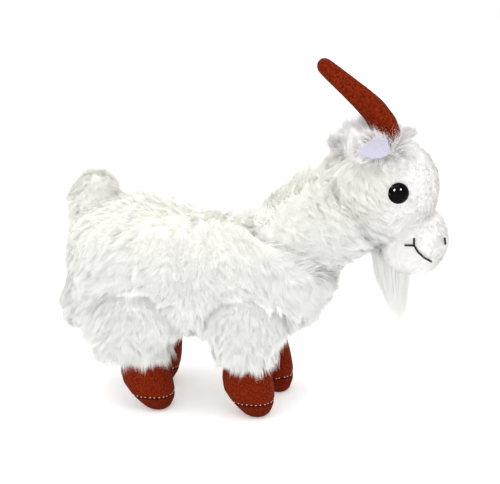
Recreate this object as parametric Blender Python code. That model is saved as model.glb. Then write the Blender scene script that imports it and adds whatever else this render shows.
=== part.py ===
"""Plush mountain goat, built as the separate sewn pieces of the soft toy.

Frame: metres, +X towards the nose, +Y to the goat's left, +Z up.  The origin is on the floor under the
middle of the toy.  Every sewn skin is a closed sheet solid with a filling inside it, and each limb hangs
in a round seat, so it can swing about its own axis without touching its neighbour.
"""
import math

import bmesh
import bpy
from mathutils import Matrix, Vector

MM = 0.001
SKIN = 2.0            # thickness of a plush skin, mm
FELT = 1.6            # thickness of the velour on hooves and horns, mm
GAP = 0.4             # clearance between sewn pieces, mm
SEAT = 0.8            # clearance round a moving limb, mm
BALL_SEAT = 1.2       # clearance round the neck and head balls, mm
BIG = 400.0           # size of a cutting block, mm

# torso sections along X: x, underside z, top z, half width
TORSO = (
    (-117.6, 78, 92, 8),
    (-114, 60, 109, 23),
    (-106, 50, 121, 34),
    (-90, 46, 128, 41),
    (-70, 45, 130, 44),
    (-45, 45, 125, 45),
    (-20, 46, 121, 45),
    (5, 48, 120, 43),
    (25, 50, 116, 38),
    (40, 56, 104, 28),
    (48, 68, 90, 12),
)
BELLY_HALF = 13.2     # half width of the belly panel

NECK_ROOT = Vector((28, 0, 108))
HEAD_CENTRE = Vector((76, 0, 140))
NECK_AXIS = (HEAD_CENTRE - NECK_ROOT).normalized()
NECK_R = 29.5
NECK_TUBE = ((14, 29.3), (28, 28.5), (42, 27.5), (56, 26.5))
NECK_FRONT_X = 70.0
NECK_FLARE = math.radians(18)

HEAD_R = 31.0
FACE_STRETCH = 1.14   # the skull is this much longer in front of its centre
MUZZLE_CENTRE = Vector((97.6, 0, 109))
MUZZLE_HALF = Vector((20, 20, 21))
FACE_X = 85.0         # the short face panel starts here
FACE_Z = 128.0        # seam between face and muzzle
CHIN_SEAM = (Vector((78, 0, 103)), Vector((110, 0, 88)))

EYE_X = 89.0
EYE_Z = 142.5
EYE_R = 6.0
EYE_RISE = 3.4
SHANK_R = 1.6
SHANK_LENGTH = 9.0
WASHER_R = 6.0
WASHER_T = 1.2
WASHER_DEPTH = 3.6    # outer face of the washer below the head surface

MOUTH_LINE = ((98.3, 114.6), (98.5, 110.6), (101.0, 106.6), (104.4, 103.2), (108.2, 100.4))
MOUTH_CORNER = ((93.4, 110.4), (98.5, 110.6))
NOSTRIL_LINE = ((114.6, 113.0), (115.2, 109.2))
THREAD_R = 0.55
THREAD_LIFT = 0.95

HORN_PATH = (
    (81, 10, 171), (78.5, 10.3, 178), (73.3, 10.9, 185.2), (66.2, 11.6, 192),
    (58.2, 12.2, 198.8), (51, 12.7, 205), (44.8, 13.2, 210.4),
)
HORN_RADII = (8.0, 7.9, 7.5, 6.9, 6.1, 5.4, 4.6)
LEFT_HORN_BACK = 3.2  # the left horn stands this much further back than the right one, mm
LEFT_HORN_DROOP = 0.1  # and loses this share of its height

EAR_ROOT = Vector((84, 22, 166.5))
EAR_AXIS = Vector((-0.76, 0.63, -0.10)).normalized()
EAR_FACE = Vector((0.55, 0.76, 0.34))
# along the ear, half width
EAR_SECTIONS = ((0, 6.5), (5, 8.0), (11, 8.6), (17, 7.2), (22, 4.4), (25, 1.4))
EAR_OUTER_T = 2.8
EAR_INNER_T = 1.8
EAR_BOW = 2.2

LEG_Y = 28.0
HIP_Z = 60.0
KNEE_Z = 48.0         # below this a leg leans forward or back
CALF_Z = 41.0         # below this it leans inward
TUCK = 0.2            # inward lean per mm of height
# x of the hip, side, forward lean of the foot per mm of height
LEGS = {
    "front_left": (2.5, 1, 0.14),
    "front_right": (2.5, -1, 0.0),
    "hind_left": (-62, 1, -0.13),
    "hind_right": (-62, -1, 0.06),
}
# thigh drum: distance outward from the inner face, radius
THIGH = ((0, 20), (2.5, 23), (18, 23), (26, 19.5), (30, 11.5))
THIGH_INNER_Y = 14.6
THIGH_R = 23.0
# leg below the thigh: z, back x, front x, half width
SHANK = ((60, -18, 18, 13), (KNEE_Z, -18.5, 18.5, 13.2), (41, -16.4, 16.6, 13), (34, -14.4, 14.4, 12.6))
HOOF = ((33.6, -14.0, 14.0, 12.4), (25, -14.8, 15.6, 13.2), (17, -14.0, 16.5, 13.4), (10.4, -10.4, 16.5, 12.8))
SOLE = ((9.9, -10.0, 16.3, 12.7), (5.6, -6.0, 15.6, 11.8), (1.6, -2.4, 13.6, 9.4), (0, 0.4, 11.6, 7.4))
SOLE_THREAD_R = 0.45
ANKLE_OVERRUN = (28, 38)  # where the hollows of leg and hoof run out past the ankle, z
SWING_FAN = math.radians(62)

TAIL_PATH = ((-95, 0, 120), (-96, 0, 126), (-95, 0, 131))
TAIL_RADII = (14, 14.4, 11)

BEARD_ROOT = Vector((85, 0, 84))
# z, centre x, half length, half width
BEARD = ((79, 86, 7.6, 7), (73, 88.5, 7.2, 6.4), (66, 91, 5.2, 4.6), (58, 93.5, 2, 1.8))
BEARD_ROOT_R = 7.0

COLOURS = {
    "long_plush": (0.86, 0.85, 0.80, 1.0),
    "short_plush": (0.88, 0.88, 0.87, 1.0),
    "ear_velour": (0.78, 0.77, 0.86, 1.0),
    "rust_velour": (0.36, 0.07, 0.025, 1.0),
    "sole_velour": (0.30, 0.055, 0.022, 1.0),
    "pale_thread": (0.75, 0.60, 0.50, 1.0),
    "black_thread": (0.012, 0.012, 0.014, 1.0),
    "black_plastic": (0.006, 0.006, 0.007, 1.0),
    "fibre_filling": (0.90, 0.90, 0.88, 1.0),
}
ROUGHNESS = {"black_plastic": 0.08, "black_thread": 0.6}


def clear_scene():
    for item in list(bpy.data.objects):
        bpy.data.objects.remove(item, do_unlink=True)
    for mesh in list(bpy.data.meshes):
        bpy.data.meshes.remove(mesh)


def material(name):
    made = bpy.data.materials.get(name)
    if made is None:
        made = bpy.data.materials.new(name)
        made.use_nodes = True
        shader = made.node_tree.nodes["Principled BSDF"]
        shader.inputs["Base Color"].default_value = COLOURS[name]
        shader.inputs["Roughness"].default_value = ROUGHNESS.get(name, 0.9)
        made.diffuse_color = COLOURS[name]
    return made


def add_object(name, bm):
    """Turn a bmesh in millimetres into an object in metres, with flat faces only."""
    bmesh.ops.triangulate(bm, faces=bm.faces)
    bmesh.ops.scale(bm, vec=(MM, MM, MM), verts=bm.verts)
    bmesh.ops.recalc_face_normals(bm, faces=bm.faces)
    mesh = bpy.data.meshes.new(name)
    bm.to_mesh(mesh)
    bm.free()
    item = bpy.data.objects.new(name, mesh)
    bpy.context.scene.collection.objects.link(item)
    return item


def loft(name, rings):
    """A closed solid through rings of equal point counts, with flat end caps."""
    bm = bmesh.new()
    loops = [[bm.verts.new(point) for point in ring] for ring in rings]
    count = len(loops[0])
    for low, high in zip(loops, loops[1:]):
        for i in range(count):
            j = (i + 1) % count
            bm.faces.new((low[i], low[j], high[j], high[i]))
    bm.faces.new(loops[0])
    bm.faces.new(list(reversed(loops[-1])))
    return add_object(name, bm)


def oval(centre, across, up, half_across, half_up, count, power=2.0):
    """Points of a superellipse in the plane of the two directions."""
    points = []
    for i in range(count):
        angle = 2 * math.pi * (i + 0.5) / count
        c = math.cos(angle)
        s = math.sin(angle)
        a = half_across * math.copysign(abs(c) ** (2 / power), c)
        b = half_up * math.copysign(abs(s) ** (2 / power), s)
        points.append(centre + across * a + up * b)
    return points


def tube(name, points, radii, count):
    """Round tube through points in or near the XZ plane, with half-ball ends."""
    path = [Vector(p) for p in points]
    spots = []
    tangents = [(path[min(i + 1, len(path) - 1)] - path[max(i - 1, 0)]).normalized() for i in range(len(path))]
    for angle in (22, 56):
        turn = math.radians(angle)
        spots.append((path[0] - tangents[0] * radii[0] * math.cos(turn), tangents[0], radii[0] * math.sin(turn)))
    for point, tangent, radius in zip(path, tangents, radii):
        spots.append((point, tangent, radius))
    for angle in (56, 22):
        turn = math.radians(angle)
        end = path[-1] + tangents[-1] * radii[-1] * math.cos(turn)
        spots.append((end, tangents[-1], radii[-1] * math.sin(turn)))
    rings = []
    for centre, tangent, radius in spots:
        across = tangent.cross(Vector((0, 1, 0))).normalized()
        up = across.cross(tangent)
        rings.append(oval(centre, across, up, radius, radius, count))
    return loft(name, rings)


def ball(name, centre, radius, segments=16):
    bm = bmesh.new()
    bmesh.ops.create_uvsphere(bm, u_segments=segments, v_segments=segments // 2, radius=radius)
    bmesh.ops.translate(bm, vec=centre, verts=bm.verts)
    return add_object(name, bm)


def ellipsoid(name, centre, half, segments=16):
    bm = bmesh.new()
    bmesh.ops.create_uvsphere(bm, u_segments=segments, v_segments=segments // 2, radius=1)
    bmesh.ops.scale(bm, vec=half, verts=bm.verts)
    bmesh.ops.translate(bm, vec=centre, verts=bm.verts)
    return add_object(name, bm)


def rod(name, start, direction, length, r_start, r_end, segments=20):
    bm = bmesh.new()
    bmesh.ops.create_cone(
        bm, cap_ends=True, segments=segments, radius1=r_start, radius2=r_end, depth=length,
    )
    bmesh.ops.translate(bm, vec=(0, 0, length / 2), verts=bm.verts)
    turn = Vector((0, 0, 1)).rotation_difference(direction).to_matrix() @ Matrix.Rotation(0.11, 3, "Z")
    bmesh.ops.rotate(bm, cent=(0, 0, 0), matrix=turn, verts=bm.verts)
    bmesh.ops.translate(bm, vec=start, verts=bm.verts)
    return add_object(name, bm)


def box(name, low, high):
    bm = bmesh.new()
    bmesh.ops.create_cube(bm, size=1)
    size = [b - a for a, b in zip(low, high)]
    middle = [(a + b) / 2 for a, b in zip(low, high)]
    bmesh.ops.scale(bm, vec=size, verts=bm.verts)
    bmesh.ops.translate(bm, vec=middle, verts=bm.verts)
    return add_object(name, bm)


def half_space(point, outward):
    """A large block filling the side of the plane that outward points to."""
    block = box("block", (-BIG, -BIG, 0), (BIG, BIG, BIG))
    turn = Vector((0, 0, 1)).rotation_difference(outward.normalized()).to_matrix().to_4x4()
    block.data.transform(Matrix.Translation(point * MM) @ turn)
    return block


def copy_of(item):
    twin = bpy.data.objects.new(item.name + "_copy", item.data.copy())
    bpy.context.scene.collection.objects.link(twin)
    return twin


def combine(target, tool, operation="DIFFERENCE", keep=False):
    """Apply one exact Boolean to the target and drop the tool."""
    change = target.modifiers.new("combine", "BOOLEAN")
    change.operation = operation
    change.solver = "EXACT"
    change.object = tool
    bpy.context.view_layer.update()
    result = target.evaluated_get(bpy.context.evaluated_depsgraph_get())
    mesh = bpy.data.meshes.new_from_object(result)
    target.modifiers.clear()
    old = target.data
    target.data = mesh
    bpy.data.meshes.remove(old)
    if not keep:
        bpy.data.objects.remove(tool, do_unlink=True)
    return target


def cut_all(targets, tool):
    for target in targets:
        combine(target, tool, keep=True)
    bpy.data.objects.remove(tool, do_unlink=True)


def islands(bm):
    """Groups of faces that share vertices."""
    seen = set()
    groups = []
    for first in bm.faces:
        if first in seen:
            continue
        seen.add(first)
        group = [first]
        for face in group:
            for vert in face.verts:
                for near in vert.link_faces:
                    if near not in seen:
                        seen.add(near)
                        group.append(near)
        groups.append(group)
    return groups


def finish(item, name, slot, origin=None):
    """Name the node, keep its main body, set its material and put its origin on the joint."""
    bm = bmesh.new()
    bm.from_mesh(item.data)
    bmesh.ops.remove_doubles(bm, verts=bm.verts, dist=0.00001)
    bmesh.ops.dissolve_degenerate(bm, dist=0.000005, edges=bm.edges)
    bmesh.ops.dissolve_limit(bm, angle_limit=math.radians(0.8), verts=bm.verts, edges=bm.edges)
    bmesh.ops.triangulate(bm, faces=bm.faces)
    groups = sorted(islands(bm), key=lambda faces: sum(face.calc_area() for face in faces))
    spare = [face for group in groups[:-1] for face in group]
    if spare:
        bmesh.ops.delete(bm, geom=spare, context="FACES")
    bmesh.ops.recalc_face_normals(bm, faces=bm.faces)
    place = (origin or Vector((0, 0, 0))) * MM
    bmesh.ops.translate(bm, vec=-place, verts=bm.verts)
    bm.to_mesh(item.data)
    bm.free()
    item.name = name
    item.data.name = name
    item.location = place
    item.data.materials.clear()
    item.data.materials.append(material(slot))
    bpy.context.scene.collection.objects.unlink(item)
    bpy.data.collections["plush_goat"].objects.link(item)
    return item


def mirrored(vector, side):
    return Vector((vector[0], vector[1] * side, vector[2]))


def side_name(side):
    return "left" if side > 0 else "right"


# ---------------------------------------------------------------- solids before cutting


def torso_solid(name, inset):
    rings = []
    last = len(TORSO) - 1
    for i, (x, low, high, half) in enumerate(TORSO):
        shift = inset if i == 0 else -inset if i == last else 0
        centre = Vector((x + shift, 0, (low + high) / 2))
        half_up = (high - low) / 2 - inset
        rings.append(oval(centre, Vector((0, 1, 0)), Vector((0, 0, 1)), half - inset, half_up, 18, 2.25))
    return loft(name, rings)


def neck_solid(name, inset, overrun=0.0):
    across = Vector((0, 1, 0))
    up = NECK_AXIS.cross(across)
    sections = []
    for angle in (12, 35, 60, 90):
        turn = math.radians(angle)
        radius = NECK_R - inset
        sections.append((-radius * math.cos(turn), radius * math.sin(turn)))
    sections += [(distance, radius - inset) for distance, radius in NECK_TUBE]
    if overrun:
        sections[-1] = (sections[-1][0] + overrun, sections[-1][1])
    rings = [oval(NECK_ROOT + NECK_AXIS * d, across, up, r, r, 16) for d, r in sections]
    return loft(name, rings)


def head_solid(name, inset):
    skull = ball(name, HEAD_CENTRE, HEAD_R - inset, 20)
    middle = HEAD_CENTRE.x * MM
    for vert in skull.data.vertices:
        if vert.co.x > middle:
            vert.co.x = middle + (vert.co.x - middle) * FACE_STRETCH
    half = MUZZLE_HALF - Vector((inset, inset, inset))
    return combine(skull, ellipsoid("muzzle", MUZZLE_CENTRE, half, 16), "UNION")


def foot_rings(sections, leg, inset):
    x, side, lean = leg
    rings = []
    for z, back, front, half in sections:
        forward = lean * max(0.0, KNEE_Z - z)
        outward = LEG_Y - TUCK * max(0.0, CALF_Z - z)
        centre = Vector((x + (back + front) / 2 + forward, side * outward, z))
        length = (front - back) / 2 - inset
        rings.append(oval(centre, Vector((1, 0, 0)), Vector((0, 1, 0)), length, half - inset, 12, 2.3))
    return rings


def thigh_solid(name, x, side, inset):
    rings = []
    last = len(THIGH) - 1
    for i, (out, radius) in enumerate(THIGH):
        shift = inset if i == 0 else -inset if i == last else 0
        centre = Vector((x, side * (THIGH_INNER_Y + out + shift), HIP_Z))
        rings.append(oval(centre, Vector((1, 0, 0)), Vector((0, 0, 1)), radius - inset, radius - inset, 16))
    return loft(name, rings)


def muzzle_point(x, z, side, lift):
    """A point on the muzzle at the given x and z, raised by lift along the surface normal."""
    rx = (x - MUZZLE_CENTRE.x) / MUZZLE_HALF.x
    rz = (z - MUZZLE_CENTRE.z) / MUZZLE_HALF.z
    y = MUZZLE_HALF.y * math.sqrt(max(0.0, 1 - rx * rx - rz * rz))
    normal = Vector((rx / MUZZLE_HALF.x, y / MUZZLE_HALF.y ** 2, rz / MUZZLE_HALF.z)).normalized()
    point = Vector((x, y, z)) + normal * lift
    return mirrored(point, side)


# ---------------------------------------------------------------- pieces


def cut_seats(items):
    """Open the torso pieces for the legs, the neck and the tail."""
    for x, side, _ in LEGS.values():
        start = Vector((x, side * (THIGH_INNER_Y - SEAT), HIP_Z))
        outward = Vector((0, side, 0))
        cut_all(items, rod("seat", start, outward, 60, THIGH_R + SEAT, THIGH_R + SEAT, 20))
        steps = [SWING_FAN * (i / 2 - 1) for i in range(5)]
        arc = [Vector((x + 44 * math.sin(a), 0, HIP_Z - 44 * math.cos(a))) for a in steps]
        outline = [Vector((x, 0, HIP_Z))] + arc
        near = [p + outward * (THIGH_INNER_Y - SEAT / 2) for p in outline]
        far = [p + outward * 70 for p in outline]
        cut_all(items, loft("fan", [near, far]))
    seat = NECK_R + BALL_SEAT
    cut_all(items, ball("seat", NECK_ROOT, seat, 24))
    start = NECK_ROOT - NECK_AXIS * seat * math.sin(NECK_FLARE)
    r_start = seat * math.cos(NECK_FLARE)
    r_end = r_start + 80 * math.tan(NECK_FLARE)
    cut_all(items, rod("flare", start, NECK_AXIS, 80, r_start, r_end, 20))
    tail_root = Vector(TAIL_PATH[0])
    cut_all(items, ball("seat", tail_root, TAIL_RADII[0] + SEAT))
    cut_all(items, rod("flare", tail_root, Vector((0, 0, 1)), 40, TAIL_RADII[0] + SEAT, TAIL_RADII[0] + 14))


def build_torso():
    shell = combine(torso_solid("shell", 0), torso_solid("inner", SKIN))
    filling = torso_solid("filling", SKIN + GAP)
    belly = combine(
        copy_of(shell), box("strip", (-106, -BELLY_HALF, 0), (44, BELLY_HALF, 75)), "INTERSECT",
    )
    sides = []
    for side in (1, -1):
        low_y, high_y = sorted((side * GAP / 2, side * BIG))
        panel = combine(copy_of(shell), box("half", (-BIG, low_y, -BIG), (BIG, high_y, BIG)), "INTERSECT")
        wide = BELLY_HALF + GAP
        combine(panel, box("strip", (-106 - GAP, -wide, -5), (44 + GAP, wide, 75 + GAP)))
        sides.append(panel)
    bpy.data.objects.remove(shell, do_unlink=True)
    cut_seats(sides + [belly, filling])
    for panel, side in zip(sides, (1, -1)):
        finish(panel, "body_side_" + side_name(side), "long_plush")
    finish(belly, "belly_panel", "long_plush")
    finish(filling, "body_filling", "fibre_filling")


def build_neck():
    shell = combine(neck_solid("shell", 0), neck_solid("inner", SKIN, 10))
    filling = neck_solid("filling", SKIN + GAP)
    parts = [shell, filling]
    cut_all(parts, ball("seat", HEAD_CENTRE, HEAD_R + BALL_SEAT, 24))
    cut_all(parts, half_space(Vector((NECK_FRONT_X, 0, 0)), Vector((1, 0, 0))))
    for side in (1, -1):
        low_y, high_y = sorted((side * GAP / 2, side * BIG))
        panel = combine(copy_of(shell), box("half", (-BIG, low_y, -BIG), (BIG, high_y, BIG)), "INTERSECT")
        finish(panel, "neck_skin_" + side_name(side), "long_plush", NECK_ROOT)
    bpy.data.objects.remove(shell, do_unlink=True)
    finish(filling, "neck_filling", "fibre_filling", NECK_ROOT)


def eye_frame(side):
    """Centre of the eye on the head and the outward direction there."""
    ball_x = (EYE_X - HEAD_CENTRE.x) / FACE_STRETCH
    rel_z = EYE_Z - HEAD_CENTRE.z
    rel_y = math.sqrt(HEAD_R ** 2 - ball_x ** 2 - rel_z ** 2)
    outward = Vector((ball_x / FACE_STRETCH, side * rel_y, rel_z)).normalized()
    return Vector((EYE_X, side * rel_y, EYE_Z)), outward


def build_eye(side):
    base, outward = eye_frame(side)
    rings = []
    across = outward.cross(Vector((0, 0, 1))).normalized()
    up = across.cross(outward)
    profile = [(-SHANK_LENGTH, SHANK_R), (0.3, SHANK_R), (0.31, EYE_R - 0.3), (0.9, EYE_R)]
    for angle in (30, 55, 78):
        turn = math.radians(angle)
        profile.append((0.9 + (EYE_RISE - 0.9) * math.sin(turn), EYE_R * math.cos(turn)))
    for distance, radius in profile:
        rings.append(oval(base + outward * distance, across, up, radius, radius, 16))
    finish(loft("eye", rings), "eye_" + side_name(side), "black_plastic", HEAD_CENTRE)
    start = base - outward * (WASHER_DEPTH + WASHER_T)
    washer = rod("washer", start, outward, WASHER_T, WASHER_R, WASHER_R, 16)
    combine(washer, rod("bore", start - outward, outward, 5, SHANK_R + 0.3, SHANK_R + 0.3, 12))
    finish(washer, "eye_washer_" + side_name(side), "black_plastic", HEAD_CENTRE)


def build_thread(name, lines, radius, slot, origin):
    """Thread made of bevelled poly curves joined into one solid."""
    made = None
    for points in lines:
        curve = bpy.data.curves.new("thread", "CURVE")
        curve.dimensions = "3D"
        curve.bevel_depth = radius * MM
        curve.bevel_resolution = 1
        curve.use_fill_caps = True
        spline = curve.splines.new("POLY")
        spline.points.add(len(points) - 1)
        for knot, point in zip(spline.points, points):
            knot.co = (point.x * MM, point.y * MM, point.z * MM, 1)
        holder = bpy.data.objects.new("thread", curve)
        bpy.context.scene.collection.objects.link(holder)
        bpy.context.view_layer.update()
        mesh = bpy.data.meshes.new_from_object(holder.evaluated_get(bpy.context.evaluated_depsgraph_get()))
        bpy.data.objects.remove(holder, do_unlink=True)
        bm = bmesh.new()
        bm.from_mesh(mesh)
        bmesh.ops.remove_doubles(bm, verts=bm.verts, dist=0.00002)
        bmesh.ops.recalc_face_normals(bm, faces=bm.faces)
        bm.to_mesh(mesh)
        bm.free()
        piece = bpy.data.objects.new("thread", mesh)
        bpy.context.scene.collection.objects.link(piece)
        made = piece if made is None else combine(made, piece, "UNION")
    return finish(made, name, slot, origin)


def build_head():
    shell = combine(head_solid("shell", 0), head_solid("inner", SKIN))
    filling = head_solid("filling", SKIN + GAP)
    parts = [shell, filling]
    for side in (1, -1):
        cut_all(parts, ball("seat", horn_path(side)[0], HORN_RADII[0] + SEAT))
        base, outward = eye_frame(side)
        cut_all(parts, rod("bore", base - outward * 14, outward, 20, SHANK_R + 0.3, SHANK_R + 0.3, 12))
        start = base - outward * (WASHER_DEPTH + WASHER_T + GAP)
        wide = WASHER_R + GAP
        cut_all([filling], rod("pocket", start, outward, 8, wide, wide, 16))
    seam_low, seam_high = CHIN_SEAM
    along = seam_high - seam_low
    down = Vector((along.z, 0, -along.x)).normalized()
    below_seam = half_space(seam_low + down * GAP / 2, down)
    above_seam = half_space(seam_low - down * GAP / 2, -down)
    chin = combine(copy_of(shell), below_seam, "INTERSECT")
    upper = combine(shell, above_seam, "INTERSECT")
    half_gap = GAP / 2
    zones = {
        "head_back": ((-BIG, -BIG), (FACE_X - half_gap, BIG), "long_plush"),
        "face_panel": ((FACE_X + half_gap, FACE_Z + half_gap), (BIG, BIG), "short_plush"),
        "muzzle": ((FACE_X + half_gap, -BIG), (BIG, FACE_Z - half_gap), "short_plush"),
    }
    for side in (1, -1):
        low_y, high_y = sorted((side * half_gap, side * BIG))
        for name, (low, high, slot) in zones.items():
            zone = box("zone", (low[0], low_y, low[1]), (high[0], high_y, high[1]))
            panel = combine(copy_of(upper), zone, "INTERSECT")
            finish(panel, name + "_" + side_name(side), slot, HEAD_CENTRE)
        build_eye(side)
        line = [muzzle_point(x, z, side, THREAD_LIFT) for x, z in MOUTH_LINE]
        corner = [muzzle_point(x, z, side, THREAD_LIFT + 0.13) for x, z in MOUTH_CORNER]
        name = "mouth_stitch_" + side_name(side)
        build_thread(name, [line, corner], THREAD_R, "black_thread", HEAD_CENTRE)
        nostril = [muzzle_point(x, z, side, THREAD_LIFT) for x, z in NOSTRIL_LINE]
        name = "nostril_stitch_" + side_name(side)
        build_thread(name, [nostril], THREAD_R, "black_thread", HEAD_CENTRE)
    bpy.data.objects.remove(upper, do_unlink=True)
    finish(chin, "chin_panel", "short_plush", HEAD_CENTRE)
    finish(filling, "head_filling", "fibre_filling", HEAD_CENTRE)


def horn_path(side):
    path = []
    for x, y, z in HORN_PATH:
        if side > 0:
            x -= LEFT_HORN_BACK
            z -= LEFT_HORN_DROOP * (z - HORN_PATH[0][2])
        path.append(Vector((x, y * side, z)))
    return path


def build_stuffed_tube(label, path, radii, thickness, slot, segments):
    """Horn or tail: a fabric tube open at its root, with a filling inside."""
    root = Vector(path[0])
    axis = (Vector(path[1]) - root).normalized()
    skin = tube("skin", path, radii, segments)
    combine(skin, tube("inner", path, [r - thickness for r in radii], segments))
    combine(skin, half_space(root - axis * radii[0] * 0.45, -axis))
    finish(skin, label[0], slot, root)
    inside = [r - thickness - GAP for r in radii]
    filling = tube("filling", path, inside, segments)
    combine(filling, half_space(root - axis * radii[0] * 0.45, -axis))
    finish(filling, label[1], "fibre_filling", root)


def ear_frame(side):
    along = mirrored(EAR_AXIS, side)
    face = mirrored(EAR_FACE, side)
    face = (face - along * face.dot(along)).normalized()
    return mirrored(EAR_ROOT, side), along, face, along.cross(face)


def build_ear(side):
    root, along, face, across = ear_frame(side)
    for name, slot, low, high, trim in (
        ("ear_outer_", "long_plush", -EAR_OUTER_T, -GAP / 2, 0.0),
        ("ear_inner_", "ear_velour", GAP / 2, EAR_INNER_T, 1.2),
    ):
        rings = []
        for distance, half in EAR_SECTIONS:
            half = max(0.6, half - trim)
            centre = root + along * distance
            steps = [i / 2 - 1 for i in range(5)]
            bow = [EAR_BOW * s * s * (half / 8) ** 2 for s in steps]
            under = [centre + across * half * s + face * (low + b) for s, b in zip(steps, bow)]
            over = [centre + across * half * s + face * (high + b) for s, b in zip(steps, bow)]
            rings.append(under + list(reversed(over)))
        finish(loft("ear", rings), name + side_name(side), slot, root)


def build_leg(label, leg):
    x, side, _ = leg
    hip = Vector((x, side * LEG_Y, HIP_Z))
    skin = combine(thigh_solid("thigh", x, side, 0), loft("shank", foot_rings(SHANK, leg, 0)), "UNION")
    inner = thigh_solid("inner", x, side, SKIN)
    long_shank = SHANK[:-1] + ((ANKLE_OVERRUN[0],) + SHANK[-1][1:],)
    combine(inner, loft("inner_shank", foot_rings(long_shank, leg, SKIN)), "UNION")
    combine(skin, inner)
    finish(skin, "leg_skin_" + label, "long_plush", hip)

    hoof = loft("hoof", foot_rings(HOOF, leg, 0))
    open_hoof = ((ANKLE_OVERRUN[1],) + HOOF[0][1:],) + HOOF[1:] + ((6,) + HOOF[-1][1:],)
    combine(hoof, loft("inner", foot_rings(open_hoof, leg, FELT)))
    finish(hoof, "hoof_" + label, "rust_velour", hip)

    sole = loft("sole", foot_rings(SOLE, leg, 0))
    dish = ((13,) + SOLE[0][1:],) + SOLE[:2] + ((FELT + 0.6,) + SOLE[2][1:],)
    combine(sole, loft("dish", foot_rings(dish, leg, FELT)))
    finish(sole, "hoof_sole_" + label, "sole_velour", hip)

    filling = thigh_solid("filling", x, side, SKIN + GAP)
    column = SHANK[:-1] + ((HOOF[0][0],) + SHANK[-1][1:],) + HOOF[1:3]
    column += ((10.2,) + SOLE[0][1:], SOLE[1], (FELT + 1.2,) + SOLE[2][1:])
    combine(filling, loft("column", foot_rings(column, leg, SKIN + GAP)), "UNION")
    finish(filling, "leg_filling_" + label, "fibre_filling", hip)

    seam = (10.15,) + SOLE[0][1:]
    ring = foot_rings([seam], leg, -(SOLE_THREAD_R + 0.75))[0]
    centre = sum(ring, Vector()) / len(ring)
    bm = bmesh.new()
    loops = []
    for point in ring:
        out = (point - centre).normalized()
        section = oval(point, out, Vector((0, 0, 1)), SOLE_THREAD_R, SOLE_THREAD_R, 4)
        loops.append([bm.verts.new(corner) for corner in section])
    for i, low in enumerate(loops):
        high = loops[(i + 1) % len(loops)]
        for j in range(4):
            k = (j + 1) % 4
            bm.faces.new((low[j], low[k], high[k], high[j]))
    finish(add_object("thread", bm), "hoof_thread_" + label, "pale_thread", hip)


def build_beard():
    rings = []
    for angle in (70, 35, 0):
        turn = math.radians(angle)
        centre = BEARD_ROOT + Vector((0, 0, BEARD_ROOT_R * math.sin(turn)))
        half = BEARD_ROOT_R * math.cos(turn)
        rings.append(oval(centre, Vector((1, 0, 0)), Vector((0, 1, 0)), half, half, 14))
    for z, x, half_x, half_y in BEARD:
        rings.append(oval(Vector((x, 0, z)), Vector((1, 0, 0)), Vector((0, 1, 0)), half_x, half_y, 14))
    finish(loft("beard", rings), "beard", "long_plush", BEARD_ROOT)


clear_scene()
goat = bpy.data.collections.new("plush_goat")
bpy.context.scene.collection.children.link(goat)
build_torso()
build_neck()
build_head()
for horn_side in (1, -1):
    labels = ("horn_skin_" + side_name(horn_side), "horn_filling_" + side_name(horn_side))
    build_stuffed_tube(labels, horn_path(horn_side), HORN_RADII, FELT, "rust_velour", 10)
    build_ear(horn_side)
build_stuffed_tube(("tail_skin", "tail_filling"), TAIL_PATH, TAIL_RADII, SKIN, "long_plush", 12)
for leg_label, leg_place in LEGS.items():
    build_leg(leg_label, leg_place)
build_beard()
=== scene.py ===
"""Plush mountain goat: soft skins, long fur, short face pile, velour horns and hooves, studio light."""

import math

import bmesh
import bpy
import numpy as np
from mathutils import Matrix, Vector
from mathutils.bvhtree import BVHTree
from mathutils.kdtree import KDTree


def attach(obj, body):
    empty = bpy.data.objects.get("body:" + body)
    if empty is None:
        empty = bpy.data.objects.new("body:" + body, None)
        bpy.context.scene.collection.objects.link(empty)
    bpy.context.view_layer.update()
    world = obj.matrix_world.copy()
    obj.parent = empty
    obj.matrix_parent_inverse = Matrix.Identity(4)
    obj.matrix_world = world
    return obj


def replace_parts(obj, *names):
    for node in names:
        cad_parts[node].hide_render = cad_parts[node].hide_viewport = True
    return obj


MM = 0.001
SIDES = {"left": 1, "right": -1}

# head: a ball stretched to the front
HEAD = np.array((76.0, 0.0, 140.0))
HEAD_R = 31.0
FACE_STRETCH = 1.14
EYE = (89.0, 142.5)  # x and z of an eye's middle
EYE_OUT = 30.0  # and about how far it is from the middle plane
EYE_R = 6.0
EYE_DOME = 3.9  # how far the bead stands out of its rim
EYE_BACK = 1.6  # and how far it is sunk behind it
THREAD_SWELL = 0.06

# ears
EAR_FACE = (0.55, 0.76, 0.34)  # the way the left ear's open face looks
EAR_BACK_SHARE = 0.68  # what is left of its back's size under the fur
EAR_PAD_SHARE = 0.8
EAR_LIFT = np.array((-0.5, 0.0, 1.4))

# neck, and the flaring rim of the torso round it
NECK_ROOT = np.array((28.0, 0.0, 108.0))
NECK_AXIS = np.array((0.832, 0.0, 0.555))
COLLAR_R = 28.3
COLLAR_FLARE = 0.325  # growth of its radius per mm along the neck
COLLAR_DEPTH = 9  # where it has that radius, below the neck's root
COLLAR_FADE = 9.0

# legs
LEGS = {"front_left": (2.5, 1), "front_right": (2.5, -1), "hind_left": (-62, 1), "hind_right": (-62, -1)}
HIP_Z = 60.0
ANKLE_Z = 34.0
THIGH_COVER = 19  # how far round the hip a thigh covers the torso
THIGH_INSIDE = 12  # and from how far out

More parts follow.
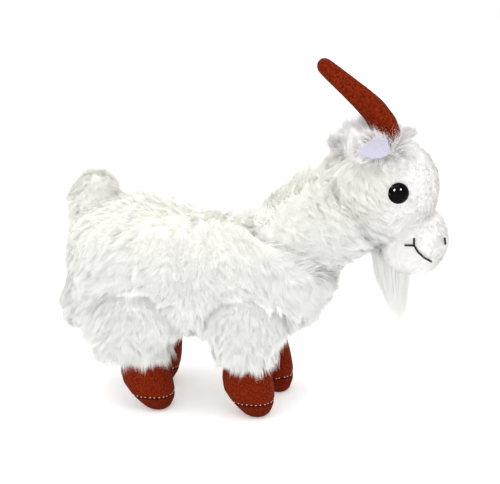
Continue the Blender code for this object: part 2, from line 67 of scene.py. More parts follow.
# beard
CHIN = np.array((84.5, 0.0, 100.5))
CHIN_HALF = np.array((12.0, 6.5, -8.5))  # half length, half width and half slope of the line it hangs from
BEARD_TIP = np.array((93.5, 0.0, 53.5))
BEARD_SCATTER = np.array((2.0, 1.6, 3.0))
BEARD_CORE = 14.0  # how far its firm middle reaches down
BEARD_OLD_MIDDLE = np.array((87.0, 0.0, 0.0))
BEARD_NEW_MIDDLE = np.array((85.5, 0.0, 0.0))
BEARD_LEAN = np.array((5.0, 0.0, 0.0))

# fur: how much locks and strands differ, and how the coat is kept in on the widest parts of the animal
ROOT_DEPTH = 0.3
LOCK_LENGTHS = 0.16
STRAND_LENGTHS = 0.12
STRAND_WIDTHS = 0.25
FLAT_SHARE = 0.7
COAT_HALF_WIDTH = 49
COAT_PRESS = 0.45

# studio, in metres
FLOOR_GLOW = 0.3
LIGHT_AIM = (0, 0, 0.1)
CATCH_DISTANCE = 0.5
CAMERA_YAW = math.radians(10.26)
CAMERA_PITCH = math.radians(15.68)
CAMERA_DISTANCE = 0.65
CAMERA_Z = 0.2845
CAMERA_LENS = 80.6

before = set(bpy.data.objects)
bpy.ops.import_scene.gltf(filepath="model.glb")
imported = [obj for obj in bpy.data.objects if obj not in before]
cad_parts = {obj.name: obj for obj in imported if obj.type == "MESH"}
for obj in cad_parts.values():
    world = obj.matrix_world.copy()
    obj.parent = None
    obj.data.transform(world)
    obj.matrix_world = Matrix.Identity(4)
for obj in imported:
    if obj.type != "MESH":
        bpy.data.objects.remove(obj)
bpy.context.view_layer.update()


# ---------------------------------------------------------------- materials


def new_material(name):
    """An empty material with its nodes, links and main shader."""
    made = bpy.data.materials.new(name)
    made.use_nodes = True
    nodes = made.node_tree.nodes
    return made, nodes, made.node_tree.links, nodes["Principled BSDF"]


def ramp(nodes, stops):
    """A colour ramp through (place, colour) stops."""
    made = nodes.new("ShaderNodeValToRGB")
    elements = made.color_ramp.elements
    elements[0].position, elements[0].color = stops[0][0], stops[0][1] + (1,)
    elements[1].position, elements[1].color = stops[-1][0], stops[-1][1] + (1,)
    for place, colour in stops[1:-1]:
        elements.new(place).color = colour + (1,)
    return made


def fur_material(name, tint, root, tip, roughness=0.75, glow=0.03):
    """Strand colour: the U of a strand picks its tint, the V runs from its root to its tip. The darker roots
    are painted shade deep in the coat.

    The faint glow stands for the light that passes through thin white fibres.
    """
    made, nodes, links, shader = new_material(name)
    uv = nodes.new("ShaderNodeUVMap")
    uv.uv_map = "OFBake"
    split = nodes.new("ShaderNodeSeparateXYZ")
    links.new(uv.outputs["UV"], split.inputs["Vector"])
    tints = ramp(nodes, tint)
    links.new(split.outputs["X"], tints.inputs["Fac"])
    # darker at the root: painted shade deep in the coat
    along = ramp(nodes, ((0.0, root), (0.45, tip), (1.0, (1.0, 1.0, 1.0))))
    links.new(split.outputs["Y"], along.inputs["Fac"])
    mix = nodes.new("ShaderNodeMix")
    mix.data_type = "RGBA"
    mix.blend_type = "MULTIPLY"
    mix.inputs["Factor"].default_value = 1.0
    links.new(tints.outputs["Color"], mix.inputs["A"])
    links.new(along.outputs["Color"], mix.inputs["B"])
    links.new(mix.outputs["Result"], shader.inputs["Base Color"])
    links.new(mix.outputs["Result"], shader.inputs["Emission Color"])
    shader.inputs["Emission Strength"].default_value = glow
    shader.inputs["Roughness"].default_value = roughness
    shader.inputs["Specular IOR Level"].default_value = 0.25
    return made


def cloth_material(name, low, high, scale, grain, roughness=0.92, mottle=0.18, glow=0.0):
    """Woven or napped cloth: mottled colour from low to high, and a fine bump; glow, where given, is painted
    light.
    """
    made, nodes, links, shader = new_material(name)
    place = nodes.new("ShaderNodeTexCoord")
    noise = nodes.new("ShaderNodeTexNoise")
    noise.inputs["Scale"].default_value = scale
    noise.inputs["Detail"].default_value = 4.0
    noise.inputs["Roughness"].default_value = 0.65
    links.new(place.outputs["Object"], noise.inputs["Vector"])
    colours = ramp(nodes, ((0.5 - mottle, low), (0.5 + mottle, high)))
    links.new(noise.outputs["Fac"], colours.inputs["Fac"])
    links.new(colours.outputs["Color"], shader.inputs["Base Color"])
    bump = nodes.new("ShaderNodeBump")
    bump.inputs["Strength"].default_value = grain
    bump.inputs["Distance"].default_value = 0.0004
    links.new(noise.outputs["Fac"], bump.inputs["Height"])
    links.new(bump.outputs["Normal"], shader.inputs["Normal"])
    shader.inputs["Roughness"].default_value = roughness
    shader.inputs["Specular IOR Level"].default_value = 0.06
    links.new(colours.outputs["Color"], shader.inputs["Emission Color"])
    shader.inputs["Emission Strength"].default_value = glow
    return made


def gloss_material(name, low, high, roughness, scale=300.0):
    """Smooth hard plastic with a hardly visible mottle."""
    made, nodes, links, shader = new_material(name)
    place = nodes.new("ShaderNodeTexCoord")
    noise = nodes.new("ShaderNodeTexNoise")
    noise.inputs["Scale"].default_value = scale
    links.new(place.outputs["Object"], noise.inputs["Vector"])
    colours = ramp(nodes, ((0.3, low), (0.7, high)))
    links.new(noise.outputs["Fac"], colours.inputs["Fac"])
    links.new(colours.outputs["Color"], shader.inputs["Base Color"])
    shader.inputs["Roughness"].default_value = roughness
    shader.inputs["Specular IOR Level"].default_value = 0.05
    return made


# The long fur's light end goes on top of the animal and its dark end low down: painted light from above and
# painted shade below.
WHITE_TINTS = ((0.0, (0.84, 0.845, 0.825)), (0.5, (0.895, 0.895, 0.868)), (1.0, (0.95, 0.945, 0.892)))
CROWN_TINTS = ((0.0, (0.88, 0.86, 0.86)), (0.5, (0.94, 0.93, 0.925)), (1.0, (0.97, 0.965, 0.955)))
# The face pile's light end goes on the muzzle: painted light.
FACE_TINTS = ((0.0, (0.78, 0.77, 0.75)), (1.0, (0.94, 0.93, 0.915)))
# The beard's tints are a darker copy of the long fur's: painted shade.
BEARD_TINTS = ((0.0, (0.83, 0.835, 0.82)), (1.0, (0.88, 0.885, 0.865)))
MAT = {
    "fur": fur_material("long_fur", WHITE_TINTS, (0.97, 0.97, 0.965), (0.99, 0.99, 0.985)),
    "crown": fur_material("crown_fur", CROWN_TINTS, (0.90, 0.88, 0.88), (0.98, 0.975, 0.97)),
    "pile": fur_material("face_pile", FACE_TINTS, (0.97, 0.97, 0.965), (0.99, 0.99, 0.99)),
    "beard": fur_material("beard_fur", BEARD_TINTS, (0.97, 0.97, 0.97), (0.99, 0.99, 0.99)),
    # The backing and the face cloth glow: painted light that lifts the shade in the gaps between the strands
    # over them.
    "backing": cloth_material("plush_backing", (0.94, 0.94, 0.92), (0.97, 0.97, 0.95), 420, 0.2, glow=0.2),
    # The beard's backing is a darker copy of the plush backing: painted shade.
    "beard_cloth": cloth_material("beard_backing", (0.78, 0.785, 0.77), (0.84, 0.845, 0.83), 420, 0.2),
    "face_cloth": cloth_material("face_cloth", (0.87, 0.86, 0.85), (0.91, 0.90, 0.89), 900, 0.3, glow=0.12),
    "rust": cloth_material(
        "rust_velour", (0.07, 0.005, 0.001), (0.235, 0.022, 0.003), 1050, 1.0, mottle=0.12
    ),
    "sole": cloth_material(
        "sole_velour", (0.05, 0.003, 0.001), (0.20, 0.018, 0.002), 1500, 1.0, mottle=0.12
    ),
    "ear": cloth_material("ear_velour", (0.47, 0.46, 0.55), (0.54, 0.53, 0.63), 1200, 0.4),
    "thread": cloth_material("black_thread", (0.010, 0.010, 0.012), (0.03, 0.03, 0.035), 3000, 0.5, 0.6),
    "stitch": cloth_material("pale_thread", (0.74, 0.62, 0.55), (0.90, 0.82, 0.76), 3000, 0.3, 0.7),
    "eye": gloss_material("black_eye", (0.0001, 0.0001, 0.0001), (0.0003, 0.0002, 0.0002), 0.05),
}


# ---------------------------------------------------------------- meshes


def add_object(name, mesh, material, body):
    """Put a mesh in the scene in one material, riding on a body if one is named."""
    made = bpy.data.objects.new(name, mesh)
    bpy.context.scene.collection.objects.link(made)
    mesh.materials.clear()
    mesh.materials.append(material)
    if body:
        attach(made, body)
    return made


def apply_modifiers(item):
    """Bake the object's modifiers into its mesh."""
    bpy.context.view_layer.update()
    result = item.evaluated_get(bpy.context.evaluated_depsgraph_get())
    mesh = bpy.data.meshes.new_from_object(result)
    item.modifiers.clear()
    item.data = mesh


def remeshed(name, nodes, voxel, smooth, material):
    """One closed skin in voxels of some mm over some of the frame's pieces, smoothed a number of times."""
    bm = bmesh.new()
    for node in nodes:
        bm.from_mesh(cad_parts[node].data)
    mesh = bpy.data.meshes.new(name)
    bm.to_mesh(mesh)
    bm.free()
    made = add_object(name, mesh, material, None)
    change = made.modifiers.new("remesh", "REMESH")
    change.mode = "VOXEL"
    change.voxel_size = voxel * MM
    change.use_smooth_shade = True
    soften = made.modifiers.new("smooth", "SMOOTH")
    soften.factor = 0.5
    soften.iterations = smooth
    apply_modifiers(made)
    made.data.materials.clear()
    made.data.materials.append(material)
    return made


def points_of(mesh):
    flat = np.empty(len(mesh.vertices) * 3)
    mesh.vertices.foreach_get("co", flat)
    return flat.reshape(-1, 3) / MM


def normals_of(mesh):
    flat = np.empty(len(mesh.vertices) * 3)
    mesh.vertex_normals.foreach_get("vector", flat)
    return flat.reshape(-1, 3)


def move_points(mesh, points):
    mesh.vertices.foreach_set("co", (points * MM).ravel())
    mesh.update()


def unit(vectors):
    return vectors / np.maximum(np.linalg.norm(vectors, axis=1, keepdims=True), 1e-9)


def waves(points, seed, size, count=6):
    """Smooth noise in about -1 to 1, with features of the given size in mm."""
    rng = np.random.default_rng(seed)
    total = np.zeros(len(points))
    for _ in range(count):
        way = rng.normal(size=3)
        way *= 2 * math.pi / size / np.linalg.norm(way) * rng.uniform(0.6, 1.5)
        total += np.sin(points @ way + rng.uniform(0, 2 * math.pi))
    return total / math.sqrt(count)


def wave_vectors(points, seed, size):
    return np.stack([waves(points, seed + i, size) for i in range(3)], axis=1)


def shrink(item, share, shift):
    """Draw a piece in towards its middle, to leave room for the fur round it, and shift it a little."""
    points = points_of(item.data)
    middle = (points.min(axis=0) + points.max(axis=0)) / 2
    move_points(item.data, middle + (points - middle) * share + shift)


def lumps(item, height, size, seed):
    """Soft unevenness of a stuffed skin."""
    points = points_of(item.data)
    shift = waves(points, seed, size) * height
    move_points(item.data, points + normals_of(item.data) * shift[:, None])


# ---------------------------------------------------------------- fur


def triangles_of(mesh):
    mesh.calc_loop_triangles()
    flat = np.empty(len(mesh.loop_triangles) * 3, dtype=np.int64)
    mesh.loop_triangles.foreach_get("vertices", flat)
    return flat.reshape(-1, 3)


def sample_surface(item, count, seed, weight):
    """Random places on a mesh with their smooth normals, and the square mm that they stand on.

    weight(points, normals), where there is one, thins out the places and the area alike.
    """
    mesh = item.data
    tris = triangles_of(mesh)
    points = points_of(mesh)
    normals = normals_of(mesh)
    a, b, c = (points[tris[:, i]] for i in range(3))
    area = np.linalg.norm(np.cross(b - a, c - a), axis=1) / 2
    if weight is not None:
        area = area * weight((a + b + c) / 3, unit(normals[tris].sum(axis=1)))
    rng = np.random.default_rng(seed)
    chosen = rng.choice(len(tris), size=count, p=area / area.sum())
    u = rng.uniform(size=(count, 1))
    v = rng.uniform(size=(count, 1))
    over = u + v > 1
    u = np.where(over, 1 - u, u)
    v = np.where(over, 1 - v, v)
    place = a[chosen] * (1 - u - v) + b[chosen] * u + c[chosen] * v
    na, nb, nc = (normals[tris[chosen, i]] for i in range(3))
    return place, unit(na * (1 - u - v) + nb * u + nc * v), float(area.sum())


def strand_mesh(name, curves, widths, facing, tint):
    """Flat tapering strands along curves of shape (strand, step, 3)."""
    count, steps = curves.shape[:2]
    heading = unit(np.gradient(curves, axis=1).reshape(-1, 3)).reshape(curves.shape)
    across = unit(np.cross(heading.reshape(-1, 3), np.repeat(facing, steps, axis=0))).reshape(curves.shape)
    half = across * widths[:, :, None] / 2
    points = np.stack([curves - half, curves + half], axis=2).reshape(-1, 3)
    row = np.arange(count)[:, None] * steps * 2 + np.arange(steps - 1)[None, :] * 2
    quads = np.stack([row, row + 1, row + 3, row + 2], axis=2).reshape(-1, 4)
    mesh = bpy.data.meshes.new(name)
    mesh.vertices.add(len(points))
    mesh.vertices.foreach_set("co", (points * MM).ravel())
    mesh.loops.add(quads.size)
    mesh.loops.foreach_set("vertex_index", quads.ravel())
    mesh.polygons.add(len(quads))
    mesh.polygons.foreach_set("loop_start", np.arange(len(quads)) * 4)
    mesh.polygons.foreach_set("use_smooth", np.ones(len(quads), dtype=bool))
    mesh.update(calc_edges=True)
    along = np.linspace(0, 1, steps)[None, :, None].repeat(count, 0).repeat(2, 2).reshape(-1)
    shade = np.repeat(np.clip(tint, 0.02, 0.98), steps * 2)
    layer = mesh.uv_layers.new(name="OFBake")
    corner = quads.ravel()
    layer.uv.foreach_set("vector", np.stack([shade[corner], along[corner] * 0.96 + 0.02], axis=1).ravel())
    return mesh


def nearest_head(points, heads):
    """For each point, which of the heads it is closest to."""
    tree = KDTree(len(heads))
    for i, head in enumerate(heads):
        tree.insert(points[head], i)
    tree.balance()
    return np.array([tree.find(p)[1] for p in points])


def sweep(root, normal, way, size, up, down, s):
    """Curves that leave the skin at the angle up from its normal and bend over to the angle down."""
    steps = len(s)
    curves = np.empty((len(root), steps, 3))
    curves[:, 0] = root - normal * ROOT_DEPTH
    for k in range(1, steps):
        middle = (s[k] + s[k - 1]) / 2
        angle = up + (down - up) * middle
        move = normal * np.cos(angle)[:, None] + way * np.sin(angle)[:, None]
        curves[:, k] = curves[:, k - 1] + move * (size / (steps - 1))[:, None]
    return curves


def press_in(curves):
    """Keep the coat a little closer on the widest parts of the animal."""
    outside = np.maximum(np.abs(curves[:, :, 1]) - COAT_HALF_WIDTH, 0)
    curves[:, :, 1] -= COAT_PRESS * outside * np.sign(curves[:, :, 1])


def shade_as_skin(mesh, base, soft):
    """Turn the strands' shading normals most of the way to the skin's, so that the coat shades as one."""
    own = normals_of(mesh)
    own = np.where(np.sum(own * base, axis=1, keepdims=True) < 0, -own, own)
    mixed = unit(own * (1 - soft) + base * soft)
    mesh.normals_split_custom_set_from_vertices(mixed.tolist())


def grow(
    item, name, body, material, count, length, seed, flow,
    stand=30, lay=80, clump=4.0, gather=0.3, width=0.16, steps=3, weight=None, tint=None,
    wave=26, stray=0.3, spread=0.18, soft=0.96, wiggle=0.0, jitter=1.0, upright=None,
):
    """Grow strands over a skin.

    length(points, normals) gives mm, and flow(points, normals) the way the strands lie.
    stand and lay are a strand's angles from the normal at its root and at its tip, and jitter scales how
    much they vary.  Strands within about clump mm share one lock and gather towards its middle.
    wave is the size in mm of the drifts in the flow, stray their strength, and spread each lock's own turn.
    weight thins the strands, tint picks their shade, and upright replaces the skin's normals.
    """
    rng = np.random.default_rng(seed)
    root, normal, area = sample_surface(item, count, seed, weight)
    if upright is not None:
        normal = unit(upright(root, normal))
    in_a_lock = max(4.0, count * clump * clump * 0.8 / area)
    locks = max(8, int(count / in_a_lock))
    heads = rng.choice(count, size=min(locks, count), replace=False)
    mine = nearest_head(root, heads)

    def vary(by_lock, by_strand):
        return by_lock * rng.normal(size=len(heads))[mine] + by_strand * rng.normal(size=count)

    way = flow(root, normal) + wave_vectors(root, seed + 50, wave) * stray
    way += rng.normal(size=(len(heads), 3))[mine] * spread
    way += rng.normal(size=(count, 3)) * spread * 0.35
    way = unit(way - normal * np.sum(way * normal, axis=1, keepdims=True))
    size = length(root, normal)
    size = size * (1 + LOCK_LENGTHS * rng.normal(size=len(heads))[mine]).clip(0.45, 1.7)
    size = size * (1 + STRAND_LENGTHS * rng.normal(size=count)).clip(0.5, 1.5)
    up = np.radians(stand + jitter * vary(8, 5))
    down = np.radians(lay + jitter * vary(9, 5))
    s = np.linspace(0, 1, steps)
    curves = sweep(root, normal, way, size, up, down, s)
    if wiggle:
        side = np.cross(normal, way)
        phase = rng.uniform(0, 2 * math.pi, len(heads))[mine]
        swing = np.sin(s[None, :] * 7 + phase[:, None]) * wiggle * s[None, :]
        curves += side[:, None, :] * swing[:, :, None]
    pull = (root[heads[mine]] - root) * gather
    curves += pull[:, None, :] * (s ** 1.4)[None, :, None]
    press_in(curves)
    taper = np.clip((1 - s) ** 0.5, 0.06, 1)[None, :]
    widths = width * taper * (1 + STRAND_WIDTHS * rng.normal(size=(count, 1))).clip(0.4, 1.8)
    # most strands lie flat to the skin, a few stand on edge and show on the outline
    flat = rng.uniform(size=count) < FLAT_SHARE
    turn = np.where(flat, 0.3 * rng.normal(size=count), rng.uniform(-1.4, 1.4, count))
    facing = normal * np.cos(turn)[:, None] + unit(np.cross(way, normal)) * np.sin(turn)[:, None]
    shade = rng.uniform(0.25, 0.85, count) if tint is None else tint(root, normal, rng)
    mesh = strand_mesh(name, curves, widths, facing, shade)
    shade_as_skin(mesh, np.repeat(normal, steps * 2, axis=0), soft)
    return add_object(name, mesh, material, body)


def same_length(value):
    """A length function that gives the same mm everywhere."""
    return lambda points, normals: np.full(len(points), float(value))


def ramp01(values, low, high):
    """0 below low, 1 above high, and a smooth rise between them."""
    t = np.clip((values - low) / (high - low), 0, 1)
    return t * t * (3 - 2 * t)


def same_way(x, y, z):
    """A flow function in which all strands lie the same way."""
    return lambda points, normals: np.tile((float(x), float(y), float(z)), (len(points), 1))


# ---------------------------------------------------------------- torso, neck, tail


def along_neck(p):
    """Mm from the neck's root towards the head."""
    return (p - NECK_ROOT) @ NECK_AXIS


def by_collar(p):
    """1 at the rim of the torso where the neck comes out of it, fading out over about 12 mm."""
    along = along_neck(p)
    off = np.linalg.norm(p - NECK_ROOT - along[:, None] * NECK_AXIS, axis=1)
    past = off - COLLAR_R - COLLAR_FLARE * (along + COLLAR_DEPTH)
    return np.exp(-((past / COLLAR_FADE) ** 2)) * ramp01(along, -16, -8)


def creamy_with_painted_top_light(p, n, rng):
    """Tint of the long fur: warmer and lighter towards the top of the animal; the lightening towards the top
    is painted light from above.
    """
    top = ramp01(p[:, 2] - 0.3 * np.maximum(p[:, 0], 0), 88, 122)
    return 0.12 + 0.65 * top + 0.1 * rng.normal(size=len(p))


def skin(name, nodes, body, voxel, smooth, material, extra=(), inset=None):
    """A smooth skin that stands for some CAD nodes, drawn in by inset mm to leave room for its fur."""
    made = remeshed(name, nodes, voxel, smooth, material)
    if inset is not None:
        points = points_of(made.data)
        move_points(made.data, points - normals_of(made.data) * inset(points)[:, None])
    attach(made, body)
    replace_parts(made, *nodes, *extra)
    return made


TORSO_NODES = ["body_side_left", "body_side_right", "belly_panel", "body_filling"]


def by_thigh(p, low=24, high=36):
    """1 close round the axis of a thigh on the outer side of the body, fading out from low to high mm."""
    near = np.zeros(len(p))
    for leg_x, _ in LEGS.values():
        reach = np.hypot(p[:, 0] - leg_x, p[:, 2] - HIP_Z)
        near = np.maximum(near, 1 - ramp01(reach, low, high))
    return near * ramp01(np.abs(p[:, 1]), 16, 24)


def out_by_thigh(p, n):
    """Strands round a thigh stand straight out sideways, so that they bridge the groove round it."""
    near = 0.9 * by_thigh(p, 26, 32)[:, None]
    return n * (1 - near) + near * np.stack([0 * p[:, 0], np.sign(p[:, 1]), 0 * p[:, 0]], axis=1)


def torso_inset(p):
    """Drawn in most on the rump, where the fur must stay inside the animal's length."""
    rump = ramp01(-p[:, 0], 90, 115)
    haunch = ramp01(-p[:, 0], 80, 95) * ramp01(78 - p[:, 2], 0, 14)
    return 2.6 + 3.5 * rump * (1 - haunch) - 1.5 * haunch - 4.6 * by_collar(p) - 1.4 * by_thigh(p)


torso = skin(
    "torso_skin", TORSO_NODES, "torso", voxel=1.8, smooth=14, material=MAT["backing"], inset=torso_inset
)
lumps(torso, height=0.9, size=46, seed=3)


def sideways(p):
    """-1 on the right flank and 1 on the left, changing over softly so that no parting shows on the back."""
    return np.clip(p[:, 1] / 16, -1, 1)


def torso_flow(p, n):
    """Fur lies rearwards on the rump, forwards on the chest, and down the flanks between."""
    front = ramp01(p[:, 0], -70, 20)
    x = -0.6 + 1.2 * front
    lying = np.stack([x, 0.5 * sideways(p), -0.8 + 0 * x], axis=1)
    collar = by_collar(p)[:, None]
    return lying * (1 - collar) + collar * (1.1 * NECK_AXIS + np.array((0, 0, -0.35)))


def torso_length(p, n):
    """Short on the rump, long on the haunches and round the neck."""
    rump = ramp01(-p[:, 0], 85, 112)
    belly = ramp01(70 - p[:, 2], 0, 25)
    haunch = ramp01(-p[:, 0], 78, 92) * ramp01(76 - p[:, 2], 0, 14)
    below = 8.5 - 3.0 * rump * (1 - haunch) + 1.0 * belly + 4 * haunch
    return below + 3.0 * by_collar(p) - 1.0 * by_thigh(p)


def outside_thighs(p):
    """0 on the parts of the torso that the thighs cover."""
    clear = np.ones(len(p))
    for leg_x, _ in LEGS.values():
        clear *= np.hypot(p[:, 0] - leg_x, p[:, 2] - HIP_Z) > THIGH_COVER
    return np.where(np.abs(p[:, 1]) < THIGH_INSIDE, 1.0, clear)


for name, side in SIDES.items():
    for part, end in (("front", 1), ("rear", -1)):
        grow(
            torso, "torso_fur_" + part + "_" + name, "torso", MAT["fur"], count=42000,
            length=torso_length, seed=20 + 2 * side + end, flow=torso_flow,
            stand=36, lay=82, clump=3.6, gather=0.22, width=0.19, tint=creamy_with_painted_top_light, soft=0.92,
            weight=lambda p, n: (p[:, 1] * side > 0) * ((p[:, 0] + 35) * end > 0) * outside_thighs(p),
            upright=out_by_thigh,
        )

NECK_NODES = ["neck_skin_left", "neck_skin_right", "neck_filling"]


def neck_inset(p):
    """Deeper on top near the root, so that the nape meets the back in a gentle dip."""
    root = 1 - ramp01(along_neck(p), 4, 26)
    return 2.0 + root * (2.5 * ramp01(p[:, 2], 118, 132) - 1.0)


neck = skin(
    "neck_skin", NECK_NODES, "neck", voxel=1.8, smooth=10, material=MAT["backing"], inset=neck_inset
)
lumps(neck, height=0.7, size=36, seed=5)


def neck_flow(p, n):
    """Forwards and down on the throat and chest, steeper on the nape."""
    nape = ramp01(p[:, 2] + 0.5 * p[:, 0], 140, 185)
    return np.stack([0.85 - 0.4 * nape, 0.2 * sideways(p), -0.4 - 0.5 * nape], axis=1)


def neck_length(p, n):
    """Shorter down in the socket of the torso."""
    return 5.5 + 4 * ramp01(along_neck(p), -12, 10)


grow(
    neck, "neck_fur", "neck", MAT["fur"], count=46000, length=neck_length, seed=12, flow=neck_flow,
    stand=34, lay=81, clump=4.0, gather=0.2, width=0.19, tint=creamy_with_painted_top_light,
    weight=lambda p, n: (along_neck(p) > -17) * 1.0,
)


def tail_length(p, n):
    """Longer below, where the tail hangs over the rump."""
    return 7 + 4 * ramp01(128 - p[:, 2], 0, 12)


tail = skin(
    "tail_base", ["tail_skin", "tail_filling"], "tail", voxel=1.4, smooth=8, material=MAT["backing"]
)
grow(
    tail, "tail_fur", "tail", MAT["fur"], count=16000, length=tail_length, seed=13,
    flow=same_way(0.05, 0, -1), stand=26, lay=76, clump=3.2, gather=0.25, width=0.18, tint=creamy_with_painted_top_light,
)

# ---------------------------------------------------------------- legs and hooves


def leg_fur(leg, label, leg_x, side):
    """Fur of one leg, longest at the back of a hind thigh and cut short where it meets the hoof."""

    def behind(p):
        return ramp01(leg_x - p[:, 0], 4, 16) * (leg_x < 0)

    def weight(p, n):
        below = p[:, 2] < HIP_Z - 12
        outer = n[:, 1] * side > -0.1
        return (p[:, 2] > ANKLE_Z + 0.5) * np.where(below | outer, 1.0, 0.0)

    def length(p, n):
        low = ramp01(60 - p[:, 2], 0, 15)
        back = behind(p)
        room = np.clip((p[:, 2] - ANKLE_Z) * 1.1 + 2.0, 2.0, 99)
        return np.minimum(7.0 + 4.0 * low + 6.0 * back, room * (1 + 0.5 * back))

    def upright(p, n):
        reach = np.hypot(p[:, 0] - leg_x, p[:, 2] - HIP_Z)
        rim = 0.9 * ramp01(reach, 12, 18) * ramp01(p[:, 2], 50, 60)
        return n * (1 - rim[:, None]) + rim[:, None] * np.array((0.0, side, 0.0))

    def flow(p, n):
        fan = (p[:, 0] - leg_x) / 90
        return np.stack([fan - 0.5 * behind(p), 0 * fan, -1.0 + 0 * fan], axis=1)

    grow(
        leg, "leg_fur_" + label, "leg_" + label, MAT["fur"], count=25000,
        length=length, seed=300 + int(leg_x) + side, flow=flow,
        stand=30, lay=80, clump=3.6, gather=0.18, width=0.17, weight=weight, tint=creamy_with_painted_top_light,
        jitter=0.8, upright=upright,
    )


def leg_inset(p, leg_x):
    """Slimmer towards the ankle; the hind thighs bulge to the rear."""
    low = ramp01(58 - p[:, 2], 0, 10)
    bulge = ramp01(leg_x - p[:, 0], 4, 18) * ramp01(p[:, 2], 36, 44) * (1 - ramp01(p[:, 2], 64, 76))
    bulge *= 1 - 0.7 * ramp01(np.abs(p[:, 1]), 30, 40)
    return 0.4 + 1.8 * low - 6.0 * bulge * (leg_x < 0)


def ring_radius(node):
    """Middle of a thread ring and its radius as a function of the angle round it."""
    points = points_of(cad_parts[node].data)
    middle = (points.min(axis=0) + points.max(axis=0)) / 2
    angles = np.arctan2(points[:, 1] - middle[1], points[:, 0] - middle[0])
    order = np.argsort(angles)
    radius = np.hypot(points[:, 0] - middle[0], points[:, 1] - middle[1])
    return middle, lambda turn: np.interp(turn, angles[order], radius[order], period=2 * math.pi)


def dashes(name, node, cloth, body, count=30, size=(0.5, 0.26, 0.24), raised=0.1):
    """Short separate stitches of half sizes size, sunk in the cloth along a thread ring."""
    middle, radius = ring_radius(node)
    surface = BVHTree.FromObject(cloth, bpy.context.evaluated_depsgraph_get())
    bm = bmesh.new()
    for k in range(count):
        turn = 2 * math.pi * k / count
        reach = float(radius(turn))
        out_x = middle[0] + reach * math.cos(turn)
        out_y = middle[1] + reach * math.sin(turn)
        place, normal, _, _ = surface.find_nearest(Vector((out_x, out_y, middle[2])) * MM)
        along = Vector((-math.sin(turn), math.cos(turn), 0.25))
        lying = along.to_track_quat("X", "Z").to_matrix().to_4x4()
        matrix = Matrix.Translation(place + normal * raised * MM) @ lying
        made = bmesh.ops.create_icosphere(bm, subdivisions=2, radius=1.0)
        scale = Matrix.Diagonal((size[0] * MM, size[1] * MM, size[2] * MM, 1))
        bmesh.ops.transform(bm, matrix=matrix @ scale, verts=made["verts"])
    mesh = bpy.data.meshes.new(name)
    bm.to_mesh(mesh)
    bm.free()
    mesh.shade_smooth()
    stitches = add_object(name, mesh, MAT["stitch"], body)
    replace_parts(stitches, node)


def hoof_skin(label, body):
    """The velour hoof, grown over the hoof and the filling in it, and cut off a little above the ankle."""
    nodes = ["hoof_" + label, "leg_filling_" + label]
    hoof = remeshed("hoof_skin_" + label, nodes, voxel=0.8, smooth=6, material=MAT["rust"])
    bm = bmesh.new()
    bm.from_mesh(hoof.data)
    above = [v for v in bm.verts if v.co.z > (ANKLE_Z + 2) * MM]
    bmesh.ops.delete(bm, geom=above, context="VERTS")
    bm.to_mesh(hoof.data)
    bm.free()
    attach(hoof, body)
    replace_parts(hoof, "hoof_" + label)
    return hoof


for label, (leg_x, side) in LEGS.items():
    body = "leg_" + label
    leg_nodes = ["leg_skin_" + label, "leg_filling_" + label]
    leg = skin(
        "leg_base_" + label, leg_nodes, body, voxel=1.5, smooth=8, material=MAT["backing"],
        inset=lambda p: leg_inset(p, leg_x),
    )
    leg_fur(leg, label, leg_x, side)
    hoof = hoof_skin(label, body)
    skin(
        "sole_pad_" + label, ["hoof_sole_" + label], body, voxel=0.8, smooth=5, material=MAT["sole"]
    )
    dashes("sole_stitches_" + label, "hoof_thread_" + label, hoof, body)

# ---------------------------------------------------------------- head

HEAD_NODES = ["head_back_left", "head_back_right", "face_panel_left", "face_panel_right"]
HEAD_NODES += ["muzzle_left", "muzzle_right", "chin_panel", "head_filling"]
WASHERS = ["eye_washer_left", "eye_washer_right"]
head = skin(
    "head_skin", HEAD_NODES, "head", voxel=1.2, smooth=8, material=MAT["face_cloth"], extra=WASHERS
)


def face_area(p):
    """1 on the short-pile face and muzzle, 0 on the long-pile back of the head."""
    brow = 157 + 1.6 * np.maximum(p[:, 0] - 87, 0)
    return ramp01(p[:, 0], 79.5, 81.5) * (1 - ramp01(p[:, 2], brow, brow + 3))


def off_eye(p):
    """Distance from the middle of the eye, seen from the side."""
    return np.hypot(p[:, 0] - EYE[0], p[:, 2] - EYE[1])


def pile_length(p, n):
    """A little longer on the muzzle and in the crease over it."""
    muzzle = ramp01(130 - p[:, 2], 0, 6)
    crease = np.exp(-((p[:, 2] - 129 - 0.25 * (p[:, 0] - 97)) / 3.0) ** 2)
    return (2.2 + 0.8 * muzzle) * (1 + 0.4 * crease)


def embroidery():
    """The black stitches, thickened a little, and a search tree of their surfaces."""
    joined = bmesh.new()
    for name in SIDES:
        for kind in ("mouth_stitch_", "nostril_stitch_"):
            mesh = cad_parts[kind + name].data.copy()
            move_points(mesh, points_of(mesh) + normals_of(mesh) * THREAD_SWELL)
            stitch = add_object(kind + "line_" + name, mesh, MAT["thread"], "head")
            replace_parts(stitch, kind + name)
            joined.from_mesh(mesh)
    tree = BVHTree.FromBMesh(joined)
    joined.free()
    return tree


threads = embroidery()


def pile_tint(p, n, rng):
    """Lighter on the muzzle than on the face: painted light on the muzzle's lower, longer pile."""
    return 0.2 + 0.55 * ramp01(132 - p[:, 2], 0, 8) + 0.1 * rng.normal(size=len(p))


def pile_weight(p, n):
    """Pile on the face only, clear of the eyes and of the embroidered lines."""
    reach = 0.8 * MM
    clear = np.array([threads.find_nearest(Vector(point) * MM, reach)[0] is None for point in p])
    return face_area(p) * (off_eye(p) > EYE_R - 0.1) * clear


grow(
    head, "face_pile", "head", MAT["pile"], count=60000, length=pile_length, seed=31,
    flow=same_way(-0.7, 0, -0.5), stand=46, lay=70, clump=1.6, gather=0.15, width=0.2, steps=2,
    weight=pile_weight, tint=pile_tint, stray=0.4, jitter=0.6,
)


